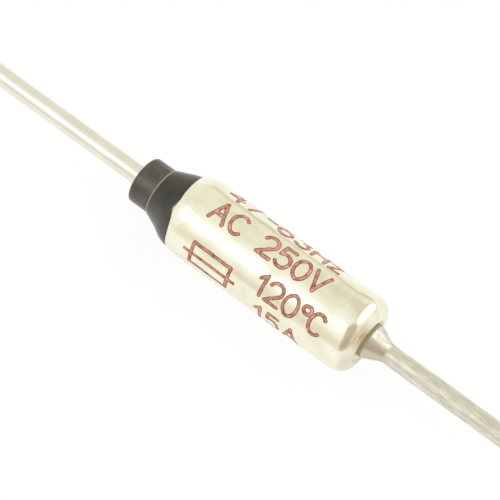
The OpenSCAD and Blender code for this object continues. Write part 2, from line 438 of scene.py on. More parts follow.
def turned_object(name: str, corners: Sequence[Corner], spacing: float, segments: int, wobble: Wobble,
                  edge_share: Optional[Share] = None) -> bpy.types.Object:
    """Turns a profile about the X axis into a smooth closed mesh.

    Args:
        name: The object's name.
        corners: The profile's corners, along its outer side towards +X. It is a loop unless it starts and
            ends on the axis.
        spacing: The longest step along a straight stretch, in millimetres.
        segments: Faces around the axis.
        wobble: Moves the points of the true form.
        edge_share: Gives the edge colours' share at the points of the true form.

    Returns:
        The new object, in the scene, in metres.
    """
    poled = max(corners[0][1], corners[-1][1]) < ON_AXIS
    outline = rounded_outline(corners, not poled, spacing)
    rings = outline[1:-1] if poled else outline
    turn = np.linspace(0, 2 * math.pi, segments, endpoint=False)
    grids = np.broadcast_arrays(rings[:, 0:1], rings[:, 1:2], turn[None, :])
    places = Places(*(grid.ravel() for grid in grids))
    points = wobble(places).points()
    index = np.arange(len(points)).reshape(len(rings), segments)
    here, there = (index[:-1], index[1:]) if poled else (index, np.roll(index, -1, axis=0))
    faces = np.stack([here, np.roll(here, -1, axis=1), np.roll(there, -1, axis=1), there], axis=-1)
    face_list = [tuple(face) for face in faces.reshape(-1, 4).tolist()]
    if poled:
        ends = Places(outline[[0, -1], 0], np.zeros(2), np.zeros(2))
        first, last = len(points), len(points) + 1
        points = np.vstack([points, ends.points()])
        places = Places(*(np.concatenate(pair) for pair in zip(places, ends)))
        for j in range(segments):
            k = (j + 1) % segments
            face_list.append((first, int(index[0, k]), int(index[0, j])))
            face_list.append((last, int(index[-1, j]), int(index[-1, k])))
    return mesh_object(name, points, face_list, edge_share(places) if edge_share else None)


def dress(obj: bpy.types.Object, finish: MetalFinish | BodyFinish) -> None:
    """Gives an object one finish in place of whatever it had.

    Args:
        obj: The object.
        finish: Its finish, whose material is built once and shared.
    """
    material = bpy.data.materials.get(finish.name) or finish.material()
    obj.data.materials.clear()
    obj.data.materials.append(material)


def stand_for(obj: bpy.types.Object, node: str, finish: MetalFinish | BodyFinish) -> None:
    """Dresses a piece and puts it in place of a CAD node, on the fuse's one body.

    Args:
        obj: The new piece.
        node: The CAD node that it stands for.
        finish: Its finish.
    """
    dress(obj, finish)
    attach(obj, "root")
    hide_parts(node)
    LOG.info("%s stands for %s, %d faces", obj.name, node, len(obj.data.polygons))


def span(node: str) -> tuple[float, float, float]:
    """Gives a CAD node's lowest x, highest x and largest radius, in millimetres."""
    low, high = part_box(node)
    return low.x / MM, high.x / MM, high.y / MM


@dataclass
class RolledLip:
    """The case's rolled lip, whose uneven edge the case and the resin share."""

    radius: float = 1.9
    angle: float = 25.0
    # Where the bushing's shoulder meets the resin under the lip.
    seat_angle: float = 14.0
    wall: float = 0.3
    # The lip is cut short on the side that is low in the view and long on the other, with a ripple.
    low_side: float = 90.0
    lean: float = 0.19
    ripple: float = 0.1
    ripple_turn: float = 0.8
    # The nick: turns from the view, in degrees, and how far the edge moves there.
    nick: tuple[Point, ...] = (
        (-60.0, 0.0), (-38.0, -0.02), (-18.0, -0.025), (-8.0, -0.01), (0.0, -0.035), (10.0, -0.07),
        (17.0, -0.04), (23.0, 0.02), (28.0, 0.045), (40.0, 0.063), (50.0, 0.055), (58.0, 0.023),
        (80.0, 0.0))
    # How far from the edge the unevenness reaches.
    reach: float = 0.7
    # Fall of the resin cone past the edge, in radius to length.
    cone_fall: float = 0.37

    @property
    def edge_x(self) -> float:
        """Place of the lip's cut edge along the axis."""
        return span("case")[0]

    @property
    def centre(self) -> Point:
        """Centre of the lip's arc, as x and radius."""
        along = self.radius * math.sin(math.radians(self.angle))
        return self.edge_x + along, span("case")[2] - self.radius

    @property
    def inner_arc(self) -> float:
        """Radius of the arc inside the lip."""
        return self.radius - self.wall

    def at(self, arc_radius: float, angle: float) -> Point:
        """Gives the point of the lip's section at a radius and an angle from the barrel."""
        (x, r), turn = self.centre, math.radians(angle)
        return x - arc_radius * math.sin(turn), r + arc_radius * math.cos(turn)

    def outside(self, x: Values) -> Values:
        """Gives the outside radius of the lip, and of the resin past its edge.

        Args:
            x: Places along the axis.

        Returns:
            The radius at each place.
        """
        middle, base = self.centre
        rolled = np.clip(middle - x, 0, middle - self.edge_x)
        fall = self.cone_fall * np.clip(self.edge_x - x, 0, None)
        return base + np.sqrt(self.radius ** 2 - rolled ** 2) - fall

    def uneven(self, places: Places, share: Values) -> tuple[Values, Values]:
        """Moves points near the lip's edge along its outside, by the edge's uneven cut.

        Args:
            places: The points.
            share: How much of the move each point takes.

        Returns:
            The points' new places along the axis, and how much further from the axis each is.
        """
        near = ramp(np.abs(places.x - self.edge_x), self.reach, 0)
        near = near * near * (3 - 2 * near)
        low = places.turn - math.radians(FACING_TURN + self.low_side)
        shift = self.lean * (np.cos(low) + self.ripple * np.cos(3 * low + self.ripple_turn))
        shift += np.interp(places.from_view, *zip(*self.nick))
        moved = places.x + shift * near * share
        return moved, self.outside(moved) - self.outside(places.x)


@dataclass
class Case:
    """The silver-plated cup with its rolled lip, rounded end and recess."""

    lip: RolledLip
    lip_round: float = 0.045
    # How much the lip's roundings fall short of its arcs, so that they don't run into their neighbours.
    arc_slack: float = 0.1
    end_round: float = 0.8
    end_step: float = 2.5
    # A fine line round that rounding: its angle, its depth, and half its width in degrees.
    line_angle: float = 67.0
    line_depth: float = 0.02
    line_half: float = 2.5
    end_wall: float = 0.6
    floor_round: float = 0.2
    # The recess's wall leans outwards from its floor to its rim, so that light reaches the flange.
    recess_r: float = 1.18
    recess_floor_r: float = 0.98
    recess_depth: float = 0.24
    tail_r: float = 0.45
    rivet_r: float = 0.7
    rivet_depth: float = 0.2
    edge_round: float = 0.03
    # Shallow dents of handling, below the true barrel: deepest dip, size of a large dip and its stretch
    # along the axis, how much finer small dips are, and the shares of evenness, large dips and small dips.
    dent_depth: float = 0.05
    dent_size: float = 1.6
    dent_stretch: float = 0.75
    dent_finer: float = 2.7
    dent_mix: Corner = (0.5, 0.6, 0.3)
    # The part of the wall's thickness through which the dents fade out.
    dent_fade: float = 0.8
    # Depths in the recess between which its painted shade comes in.
    recess_shade_fade: Point = (0.03, 0.09)
    # A painted coppery-tan reflection round the recess: width and fade of the ring, width of its inner rim
    # that turns towards the recess's colour, how far it stays short of its full colour, size of a spot,
    # the strongest side's turn from the view and its narrowness, and the shares of that side and of the
    # spots.
    reflection_width: float = 0.7
    reflection_fade: float = 0.1
    rim_width: float = 0.25
    reflection_short: float = 0.03
    wear_size: float = 0.5
    reflection_turn: float = 4.0
    reflection_narrow: int = 44
    reflection_mix: Point = (1.4, 0.4)
    # A painted olive shade line at the recess's rim: middle of the line past the rim, half its width at no
    # strength and at full strength, its side's turn from the view, and the shares of evenness and of
    # spots.
    rim_shade_out: float = 0.035
    rim_shade_half: Point = (0.05, 0.01875)
    rim_shade_turn: float = 20.0
    rim_shade_mix: Point = (0.9, 0.5)
    # Painted shade on the low side of the closed end, where it mirrors the floor in the fuse's shadow:
    # turns from the view between which it comes in and goes out, and depths behind the end between which
    # it goes out.
    low_shade_in: Point = (22.0, 50.0)
    low_shade_out: Point = (160.0, 140.0)
    low_shade_depth: Point = (0.45, 0.25)
    segments: int = 256
    spacing: float = 0.16

    def dents(self, x: Values, turn: Values) -> Values:
        """Gives how far the barrel dips below its true radius.

        Args:
            x: Places along the axis, in millimetres.
            turn: Turns about the axis, in radians.

        Returns:
            Dips in millimetres, none above the true barrel.
        """
        _, _, case_r = span("case")
        spots = np.column_stack([x * self.dent_stretch, case_r * np.cos(turn), case_r * np.sin(turn)])
        even, large, small = self.dent_mix
        dips = even + large * cloud(spots, self.dent_size)
        dips += small * cloud(spots, self.dent_size / self.dent_finer)
        return np.clip(dips, 0, 1) * self.dent_depth

    def wobble(self, places: Places) -> Places:
        """Makes the lip's edge uneven and dents the barrel.

        Args:
            places: The points of the true form.

        Returns:
            The moved points.
        """
        x, radius, turn = places
        _, _, case_r = span("case")
        moved, further = self.lip.uneven(places, np.ones(len(x)))
        outside = ramp(radius, case_r - self.dent_fade * self.lip.wall, case_r)
        return Places(moved, radius + further - outside * self.dents(x, turn), turn)

    def painted_light(self, places: Places) -> Values:
        """Gives the edge share on the closed end, all of it painted light: painted shade on its low side,
        a painted reflection round the recess, painted shade in the recess and a painted shade line at its
        rim.

        Args:
            places: The points of the true form.

        Returns:
            The share at each point.
        """
        x, radius, turn = places
        behind = span("case")[1] - x
        out = radius - self.recess_r
        on_end = behind < self.end_round
        end_face = np.full(len(x), span("case")[1])
        spots = np.column_stack([radius * np.cos(turn), radius * np.sin(turn), end_face])
        spots = cloud(spots, self.wear_size)
        # Painted shade in the recess.
        recess_shade = ramp(behind, *self.recess_shade_fade) * (out < 0) * (behind < self.end_wall)
        # A painted coppery-tan reflection in a ring round the recess, strongest on one side.
        side = np.cos((turn - math.radians(FACING_TURN + self.reflection_turn)) / 2) ** self.reflection_narrow
        ring = ramp(out, 0, self.edge_round) * ramp(out, self.reflection_width, self.reflection_width - self.reflection_fade)
        reflected = np.clip(self.reflection_mix[0] * side + self.reflection_mix[1] * spots, 0, 1) * ring * on_end
        toward_recess = (PaintedEndLight.RECESS_SHADE.value - PaintedEndLight.RING_REFLECTION.value) * ramp(out, self.rim_width, 0)
        reflected = reflected * (PaintedEndLight.RING_REFLECTION.value + toward_recess - self.reflection_short)
        # A painted olive shade line at the recess's rim, strongest on one side.
        facing = np.sqrt(np.clip(places.facing(self.rim_shade_turn), 0, 1))
        rim_shade = np.clip(facing * (self.rim_shade_mix[0] + self.rim_shade_mix[1] * spots), 0, 1) * on_end
        rim_shade = rim_shade * ramp(np.abs(out - self.rim_shade_out), *self.rim_shade_half)
        # Painted shade on the low side, where the end mirrors the floor in the fuse's shadow.
        low_shade = ramp(places.from_view, *self.low_shade_in) * ramp(places.from_view, *self.low_shade_out)
        low_shade = low_shade * ramp(behind, *self.low_shade_depth)
        return np.max([low_shade * PaintedEndLight.LOW_SIDE_SHADE.value, reflected, recess_shade * PaintedEndLight.RECESS_SHADE.value,
                       rim_shade * PaintedEndLight.RIM_SHADE.value], axis=0)

    def end_corner(self) -> list[Corner]:
        """Draws the rounding of the closed end, with the fine line round it.

        Returns:
            Corners with no rounding of their own.
        """
        _, high, outer = span("case")
        points: list[Corner] = []
        for angle in np.arange(0.0, 90.0 + self.end_step / 2, self.end_step).tolist():
            line = self.line_depth * math.exp(-((angle - self.line_angle) / self.line_half) ** 2)
            reach, turn = self.end_round - line, math.radians(angle)
            points.append((high - self.end_round + reach * math.sin(turn),
                           outer - self.end_round + reach * math.cos(turn), 0.0))
        return points

    def build(self) -> None:
        """Builds and dresses the case."""
        _, high, outer = span("case")
        lip = self.lip
        floor, bore = high - self.end_wall, outer - lip.wall
        half = math.tan(math.radians(lip.angle / 2))
        corners = [
            (*lip.at(lip.radius, lip.angle), self.lip_round),
            (lip.centre[0] - lip.radius * half, outer, lip.radius - self.arc_slack),
            *self.end_corner(),
            (high - self.edge_round / 3, self.recess_r, 0.0),
            (high - self.recess_depth, self.recess_floor_r, self.edge_round),
            (high - self.recess_depth, self.tail_r, 0.0),
            (floor + self.rivet_depth, self.tail_r, 0.0),
            (floor, self.rivet_r, 0.0),
            (floor, bore, self.floor_round),
            (lip.centre[0] - lip.inner_arc * half, bore, lip.inner_arc - self.arc_slack),
            (*lip.at(lip.inner_arc, lip.angle), 0.0),
        ]
        obj = turned_object("silver_plated_case", corners, self.spacing, self.segments,
                            self.wobble, self.painted_light)
        stand_for(obj, "case", SILVER_PLATED_CASE)


@dataclass
class ResinSeal:
    """The cast resin cone that runs from the lip up to the collar."""

    lip: RolledLip
    neck_r: float = 1.19
    edge: float = 0.03
    edge_band: float = 0.08
    lip_bare: float = 0.05
    lip_round: float = 0.012
    seat_steps: int = 6
    # The cone's swell, how far it leans to the lip, and its unevenness round the axis.
    swell: float = 0.035
    swell_lean: float = 1.6
    swell_uneven: float = 0.3
    swell_turn: float = 0.6
    # The resin ran a little to the low side of the lip before it set: height of the heap, its middle and
    # half its length as shares of the cone, its gap from the lip, and a pale painted reflection of the
    # floor on that side.
    heap: float = 0.1
    heap_middle: float = 0.8
    heap_half: float = 0.2
    heap_gap: float = 0.1
    low_side_reflection: float = 0.12
    # A thin grey smear at the lip's nick: its middle turn from the view, half its turn, and its width.
    smear_turn: float = 8.5
    smear_half: float = 6.0
    smear_width: float = 0.1
    segments: int = 192
    spacing: float = 0.06

    def wobble(self, places: Places) -> Places:
        """Swells the cone unevenly, heaps it on its low side and follows the lip's uneven edge.

        Args:
            places: The points of the true form.

        Returns:
            The moved points.
        """
        x, radius, turn = places
        top, seat, _ = span("resin_seal")
        edge = self.lip.edge_x
        outer = radius > self.neck_r + self.edge / 2
        along = ramp(x, top, edge)
        uneven = 1 + self.swell_uneven * np.cos(2 * turn + self.swell_turn)
        bulge = self.swell * np.sin(math.pi * along ** self.swell_lean) * uneven
        low = np.clip(places.facing(self.lip.low_side), 0, 1) ** 2
        heap = np.exp(-((along - self.heap_middle) / self.heap_half) ** 2)
        bulge += self.heap * low * heap * ramp(x, edge, edge - self.heap_gap)
        moved, further = self.lip.uneven(places, ramp(x, seat, edge) * outer)
        return Places(moved, radius + further + bulge * outer, turn)

    def pale_edge(self, places: Places) -> Values:
        """Gives the share of pale colour: a painted highlight along the feather edge all round its top, a
        painted reflection of the floor on the low side, and the smear.

        Args:
            places: The points of the true form.

        Returns:
            The share at each point.
        """
        top, edge = span("resin_seal")[0], self.lip.edge_x
        # A painted highlight along the top edge, and a painted reflection of the floor on the low side.
        edge_highlight = ramp(places.x, top + self.edge_band, top)
        low_side_reflection = self.low_side_reflection * np.clip(places.facing(self.lip.low_side), 0, 1)
        beside = np.exp(-((places.from_view - self.smear_turn) / self.smear_half) ** 2)
        smear = beside * ramp(places.x, edge - self.smear_width, edge - self.smear_width / 2)
        return np.max([edge_highlight, low_side_reflection, smear], axis=0)

    def build(self) -> None:
        """Builds and dresses the resin."""
        top, lip = span("resin_seal")[0], self.lip
        angles = np.linspace(lip.angle, lip.seat_angle, self.seat_steps + 1).tolist()
        under_lip = [(*lip.at(lip.inner_arc, angle), 0.0) for angle in angles]
        corners = [
            (top, self.neck_r, 0.0),
            (top, self.neck_r + self.edge, self.edge / 2),
            (*lip.at(lip.radius - self.lip_bare, lip.angle), self.lip_round),
            *under_lip,
            (under_lip[-1][0], self.neck_r, 0.0),
        ]
        obj = turned_object("cast_resin_cone", corners, self.spacing, self.segments,
                            self.wobble, self.pale_edge)
        stand_for(obj, "resin_seal", CAST_SEALING_RESIN)


@dataclass
class Bushing:
    """The glazed ceramic bushing, whose neck is the collar outside the resin."""

    lip: RolledLip
    neck_r: float = 1.19
    neck_round: float = 0.18
    nose_r: float = 0.96
    nose_len: float = 0.9
    hole_r: float = 0.51
    hole_chamfer: float = 0.06
    gap: float = 0.02
    seat_steps: int = 5
    edge_round: float = 0.03
    # Waves of the fired glaze: their depth, how far along the neck they go, and a radius outside the hole.
    glaze_wave: float = 0.008
    glaze_len: float = 2.0
    glaze_r: float = 0.765
    segments: int = 160
    spacing: float = 0.1

    def wobble(self, places: Places) -> Places:
        """Gives the neck the slight waves of a fired glaze, below its true radius.

        Args:
            places: The points of the true form.

        Returns:
            The moved points.
        """
        x, radius, turn = places
        glazed = (radius > self.glaze_r) & (x < span("bushing")[0] + self.glaze_len)
        wave = self.glaze_wave * waves(3 * turn + 1, 5 * turn + 4 * x)
        return Places(x, radius - wave * glazed, turn)

    def build(self) -> None:
        """Builds and dresses the bushing."""
        low, nose, body_r = span("bushing")
        face, seat = nose - self.nose_len, self.lip.inner_arc - self.gap
        angles = np.linspace(self.lip.seat_angle, 0, self.seat_steps + 1).tolist()
        shoulder = [(*self.lip.at(seat, angle), 0.0) for angle in angles]
        corners = [
            (low, self.hole_r + self.hole_chamfer, self.edge_round / 2),
            (low, self.neck_r, self.neck_round),
            (shoulder[0][0], self.neck_r, 0.0),
            *shoulder,
            (face, body_r, self.edge_round),
            (face, self.nose_r, 0.0),
            (nose, self.nose_r, self.edge_round),
            (nose, self.hole_r, 0.0),
            (low + self.hole_chamfer, self.hole_r, 0.0),
        ]
        obj = turned_object("ceramic_bushing", corners, self.spacing, self.segments,
                            self.wobble)
        stand_for(obj, "bushing", GLAZED_CERAMIC)


@dataclass
class Leads:
    """The two wires: one sealed in the bushing, one riveted to the case."""

    case: Case
    wire_r: float = 0.48
    tip_chamfer: float = 0.08
    head_t: float = 0.4
    head_swell: float = 0.01
    flange_r: float = 0.88
    flange_proud: float = 0.12
    flange_round: float = 0.14
    flare_len: float = 0.85
    flare_blend: float = 0.5
    edge_round: float = 0.03
    # Painted shade on one side of the flare: its turn from the view, its share of the edge colours, and
    # where it ends, in lengths of the flare past the flange.
    shade_turn: float = 64.0
    shade_share: float = 0.5
    shade_end: float = 1.3
    # Long shallow flats in the wires, where they have their own radius: depth, and how near that radius.
    flat_depth: float = 0.008
    flat_within: float = 0.005
    # The case lead sits off the case's middle: how far, towards which turn from the view, and from
    # where along the axis its wire leans back to the middle, which it reaches at its tip, and how near the
    # flange's seat counts as on it.
    off_centre: float = 0.1
    off_turn: float = -90.0
    lean_from: float = 15.0
    seat_within: float = 0.01
    segments: int = 96
    spacing: float = 0.25

    def wobble(self, places: Places) -> Places:
        """Gives the wire long shallow flats, below its true radius.

        Args:
            places: The points of the true form.

        Returns:
            The moved points.
        """
        x, radius, turn = places
        flats = self.flat_depth * waves(2 * turn + 0.9 * x, 5 * turn - 1.7 * x)
        return Places(x, radius - flats * (np.abs(radius - self.wire_r) < self.flat_within), turn)

    def riveted(self, places: Places) -> Places:
        """Gives the case lead its flats, and sets it off the middle from its flange on.

        Args:
            places: The points of the true form.

        Returns:
            The moved points.
        """
        x, radius, turn = places
        past_seat = x - span("case")[1] + self.case.recess_depth
        flange = ramp(radius, self.case.tail_r, self.flange_r) * (past_seat > -self.seat_within)
        off = np.maximum(flange, past_seat > self.seat_within)
        off = off * ramp(x, span("case_lead")[1], self.lean_from)
        moved = self.wobble(places).radius + self.off_centre * off * places.facing(self.off_turn)
        return Places(x, moved, turn)

    def painted_light(self, places: Places) -> Values:
        """Gives the share of painted shade: all on the flange's edge, and less on the flare's shaded side.

        Args:
            places: The points of the true form.

        Returns:
            The share at each point.
        """
        rim = span("case")[1] + self.flange_proud
        # Painted shade on the flange's edge, in the recess's gap, and on one side of the flare.
        edge = ramp(places.x, rim + self.edge_round, rim - self.edge_round)
        flare = ramp(places.x, rim + self.shade_end * self.flare_len, rim + self.flare_len)
        side = np.clip(places.facing(self.shade_turn), 0, 1) ** 2
        return np.maximum(edge, self.shade_share * side * flare)

    def build_sealed(self) -> None:
        """Builds and dresses the wire that leaves through the bushing."""
        tip, contact, head_r = span("sealed_lead")
        mouth, nose = span("bushing")[0], contact - self.head_t
        corners = [
            (tip, 0.0, 0.0),
            (tip, self.wire_r - self.tip_chamfer, self.edge_round),
            (tip + self.tip_chamfer, self.wire_r, self.edge_round),
            (mouth, self.wire_r, 0.0),
            (nose, self.wire_r + self.head_swell, 0.0),
            (nose, head_r, self.edge_round),
            (contact, head_r, 2 * self.edge_round),
            (contact, 0.0, 0.0),
        ]
        obj = turned_object("sealed_lead_wire", corners, self.spacing, self.segments,
                            self.wobble)
        stand_for(obj, "sealed_lead", SILVER_PLATED_WIRE)

    def build_case_lead(self) -> None:
        """Builds and dresses the wire that is riveted to the case's closed end."""
        floor, tip, _ = span("case_lead")
        end = span("case")[1]
        seat, rim = end - self.case.recess_depth, end + self.flange_proud
        corners = [
            (floor, 0.0, 0.0),
            (floor, self.case.rivet_r, 0.0),
            (floor + self.case.rivet_depth, self.case.tail_r, 0.0),
            (seat, self.case.tail_r, 0.0),
            (seat, self.flange_r, 0.0),
            (rim, self.flange_r, self.flange_round),
            (rim + self.flare_len, self.wire_r, self.flare_blend),
            (tip - self.tip_chamfer, self.wire_r, self.edge_round),
            (tip, self.wire_r - self.tip_chamfer, self.edge_round),
            (tip, 0.0, 0.0),
        ]
        obj = turned_object("case_lead_wire", corners, self.spacing, self.segments,
                            self.riveted, self.painted_light)
        stand_for(obj, "case_lead", TIN_PLATED_WIRE)


def oval(centre: Point, half_w: float, half_h: float, start: float, stop: float) -> list[Point]:
    """Draws an oval arc.

    Args:
        centre: The oval's middle.
        half_w: Half its width.
        half_h: Half its height.
        start: The angle at which the arc starts, in degrees.
        stop: The angle at which it stops.

    Returns:
        Points along the arc.
    """
    steps = max(4, round(abs(stop - start) / 15))
    angles = [math.radians(start + (stop - start) * k / steps) for k in range(steps + 1)]
    return [(centre[0] + half_w * math.cos(a), centre[1] + half_h * math.sin(a)) for a in angles]


# Strokes of each plain sign, in a box one high with its baseline at 0.
SIGNS: dict[str, list[list[Point]]] = {
    "0": [oval((0.3, 0.5), 0.3, 0.5, 0, 360)],
    "1": [[(0.12, 0.76), (0.36, 1.0), (0.36, 0.0)]],
    "2": [oval((0.3, 0.7), 0.3, 0.3, 165, -35) + [(0.0, 0.0), (0.6, 0.0)]],
    "3": [oval((0.28, 0.75), 0.26, 0.25, 150, -80) + oval((0.28, 0.26), 0.3, 0.26, 80, -150)],
    "4": [[(0.45, 0.0), (0.45, 1.0), (0.0, 0.3), (0.62, 0.3)]],
    "5": [[(0.55, 1.0), (0.1, 1.0), (0.05, 0.55)] + oval((0.28, 0.33), 0.31, 0.33, 118, -145)],
    "6": [oval((0.3, 0.3), 0.3, 0.3, 0, 360), oval((0.62, 0.34), 0.62, 0.66, 180, 98)],
    "7": [[(0.0, 1.0), (0.58, 1.0), (0.2, 0.0)]],
    "A": [[(0.0, 0.0), (0.33, 1.0), (0.66, 0.0)], [(0.13, 0.36), (0.53, 0.36)]],
    "C": [oval((0.33, 0.5), 0.33, 0.5, 48, 312)],
    "H": [[(0.0, 0.0), (0.0, 1.0)], [(0.6, 0.0), (0.6, 1.0)], [(0.0, 0.5), (0.6, 0.5)]],
    "V": [[(0.0, 1.0), (0.32, 0.0), (0.64, 1.0)]],
    "z": [[(0.0, 0.64), (0.46, 0.64), (0.0, 0.0), (0.46, 0.0)]],
    "-": [[(0.1, 0.48), (0.5, 0.48)]],
    "*": [oval((0.2, 0.8), 0.18, 0.18, 0, 360)],
}
# Narrow signs, with the share of a full step that each takes.
NARROW: dict[str, float] = {"1": 0.8, "-": 0.85, "*": 0.6}
# The fuse sign: a box with the wire drawn straight through it.
FUSE_SIGN: list[list[Point]] = [
    [(0.35, -0.6), (2.35, -0.6), (2.35, 0.6), (0.35, 0.6), (0.35, -0.6)],
    [(0.0, 0.0), (2.7, 0.0)],
]


class Row(Enum):
    """The rows of print, by their turn in degrees from the side that faces the view."""

    TOP = -73.0
    UPPER = -26.0
    LOWER = 22.0
    BOTTOM = 69.0


@dataclass
class PrintedRow:
    """One stretch of print on the case, at a row and a place along the axis."""

    name: str
    signs: str
    row: Row
    start_x: float
    pitch: float


class InkFilm:
    """A flat film of ink, traced over the grid cells where the depth inside the strokes is above zero."""

    def __init__(self, along: Values, up: Values, depth: Values) -> None:
        """Traces the film.

        Args:
            along: Grid places along the axis.
            up: Grid places up the row.
            depth: Depth inside the ink at each grid point.
        """
        self.along, self.up, self.depth = along, up, depth
        self.spots: dict[tuple, int] = {}
        self.plan: list[Corner] = []
        self.faces: list[list[int]] = []
        self.rim: list[tuple[int, int]] = []
        inside = depth > 0
        touched = inside[:-1, :-1] | inside[1:, :-1] | inside[:-1, 1:] | inside[1:, 1:]
        for i, j in np.argwhere(touched).tolist():
            ring = [(i, j), (i + 1, j), (i + 1, j + 1), (i, j + 1)]
            face: list[int] = []
            leaving: Optional[int] = None
            entering: Optional[int] = None
            for here, there in zip(ring, ring[1:] + ring[:1]):
                if inside[here]:
                    face.append(self.number(here, (along[here[0]], up[here[1]], depth[here])))
                if inside[here] != inside[there]:
                    face.append(self.crossing(here, there))
                    if inside[here]:
                        leaving = face[-1]
                    else:
                        entering = face[-1]
            self.faces.append(face)
            if leaving is not None and entering is not None:
                self.rim.append((leaving, entering))

    def number(self, key: tuple, spot: Corner) -> int:
        """Numbers a point, once.

        Args:
            key: What tells the point from others.
            spot: Its place along, place up and depth.

        Returns:
            The point's number.
        """
        if key not in self.spots:
            self.spots[key] = len(self.plan)
            self.plan.append(spot)
        return self.spots[key]

    def crossing(self, here: tuple[int, int], there: tuple[int, int]) -> int:
        """Numbers the point where the ink's edge crosses a grid line.

        Args:
            here: The grid point at one end of the line.
            there: The one at its other end.

        Returns:
            The point's number.
        """
        share = self.depth[here] / (self.depth[here] - self.depth[there])
        along = self.along[here[0]] + share * (self.along[there[0]] - self.along[here[0]])
        up = self.up[here[1]] + share * (self.up[there[1]] - self.up[here[1]])
        return self.number((min(here, there), max(here, there)), (along, up, 0.0))


@dataclass
class RatingPrint:
    """Plain rating figures and the fuse sign, pad printed round the case."""

    case: Case
    cap_height: float = 1.06
    widen: float = 1.1
    stroke: float = 0.185
    # The film's thickness, the share of it at its rim, and the width of that rim.
    film: float = 0.006
    film_rim: float = 0.35
    rim_width: float = 0.05
    cell: float = 0.024
    bleed: float = 0.022
    bleed_size: float = 0.16
    sign_x: float = -2.6
    sign_turn: float = 47.0
    sign_size: float = 1.05
    rows: tuple[PrintedRow, ...] = (
        PrintedRow("print_cycles", "47-63Hz", Row.TOP, -2.45, 0.98),
        PrintedRow("print_supply", "AC", Row.UPPER, -2.4, 1.0),
        PrintedRow("print_volts", "250V", Row.UPPER, 0.35, 0.93),
        PrintedRow("print_degrees", "120*C", Row.LOWER, 1.15, 0.9),
        PrintedRow("print_amps", "15A", Row.BOTTOM, 1.45, 0.98),
    )

    def strokes_of(self, row: PrintedRow) -> list[Values]:
        """Draws a row's strokes.

        Args:
            row: The row.

        Returns:
            Lines of points in millimetres, along the axis and up the row.
        """
        strokes, place = [], 0.0
        for sign in row.signs:
            for stroke in SIGNS[sign]:
                strokes.append(np.array(stroke) * [self.cap_height * self.widen, self.cap_height]
                               + [place, -self.cap_height / 2])
            place += row.pitch * NARROW.get(sign, 1.0)
        return strokes

    def inked(self, strokes: list[Values]) -> InkFilm:
        """Measures how deep each point of a grid lies inside the strokes, and traces the ink.

        Args:
            strokes: Lines of points in millimetres.

        Returns:
            The flat film.
        """
        every = np.vstack(strokes)
        low, high = every.min(0) - 2 * self.stroke, every.max(0) + 2 * self.stroke
        along = np.arange(low[0], high[0], self.cell)
        up = np.arange(low[1], high[1], self.cell)
        grid_u, grid_v = np.meshgrid(along, up, indexing="ij")
        nearest = np.full(grid_u.shape, np.inf)
        for line in strokes:
            for (au, av), (bu, bv) in zip(line, line[1:]):
                du, dv = bu - au, bv - av
                share = ((grid_u - au) * du + (grid_v - av) * dv) / (du * du + dv * dv)
                share = np.clip(share, 0, 1)
                nearest = np.minimum(nearest, np.hypot(grid_u - au - share * du, grid_v - av - share * dv))
        spots = np.column_stack([grid_u.ravel(), grid_v.ravel(), np.full(grid_u.size, low[0])])
        ragged = self.bleed * cloud(spots, self.bleed_size).reshape(grid_u.shape)
        return InkFilm(along, up, self.stroke / 2 + ragged - nearest)

    def print_on(self, name: str, strokes: list[Values], start_x: float, side: float) -> None:
        """Wraps strokes on the case as a thin closed film of ink.

        Args:
            name: The object's name.
            strokes: Lines of points in millimetres, along the axis and up the row.
            start_x: Where the strokes start along the axis, in millimetres.
            side: Turn of the row's middle from the side that faces the view, in degrees.
        """
        flat = self.inked(strokes)
        _, _, case_r = span("case")
        along, up, depth = np.array(flat.plan).T
        x, turn = start_x + along, np.radians(FACING_TURN + side) - up / case_r
        skin = case_r - self.case.dents(x, turn)
        domed = ramp(depth, 0, self.rim_width)
        top = skin + self.film * (self.film_rim + (1 - self.film_rim) * domed)
        points = np.vstack([Places(x, radius, turn).points() for radius in (top, skin - self.film)])
        count = len(x)
        bottom = [[k + count for k in reversed(face)] for face in flat.faces]
        walls = [[b, a, a + count, b + count] for a, b in flat.rim]
        obj = mesh_object(name, points, flat.faces + bottom + walls, np.tile(1 - domed, 2))
        dress(obj, PAD_PRINTED_INK)
        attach(obj, "root")
        LOG.info("%s, %d faces of ink", name, len(obj.data.polygons))

    def build(self) -> None:
        """Builds and dresses every row of print and the fuse sign."""
        for row in self.rows:
            self.print_on(row.name, self.strokes_of(row), row.start_x, row.row.value)
        sign = [np.array(stroke) * self.sign_size for stroke in FUSE_SIGN]
        self.print_on("print_fuse_sign", sign, self.sign_x, self.sign_turn)


@dataclass
class InnerStack:
    """The pieces sealed in the case, which keep their CAD solids."""

    finishes: tuple[tuple[str, MetalFinish | BodyFinish], ...] = (
        ("thermal_pellet", PRESSED_PELLET),
        ("pellet_disc", STAMPED_BRASS),
        ("main_spring", DRAWN_SPRING_STEEL),
        ("contact_disc", STAMPED_BRASS),
        ("star_contact", ROLLED_SHEET_SILVER),
        ("trip_spring", DRAWN_SPRING_STEEL),
    )

    def dress(self) -> None:
        """Gives each sealed piece its finish."""
        for node, finish in self.finishes:
            dress(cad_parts[node], finish)
            LOG.info("%s keeps its solid, in %s", node, finish.name)


@dataclass(frozen=True)
class SkyPatch:
    """A soft-edged patch of the surroundings that the metal reflects: a lit screen or a dark shape."""

    toward: Corner
    core_deg: float
    edge_deg: float
    colour: str
    strength: float


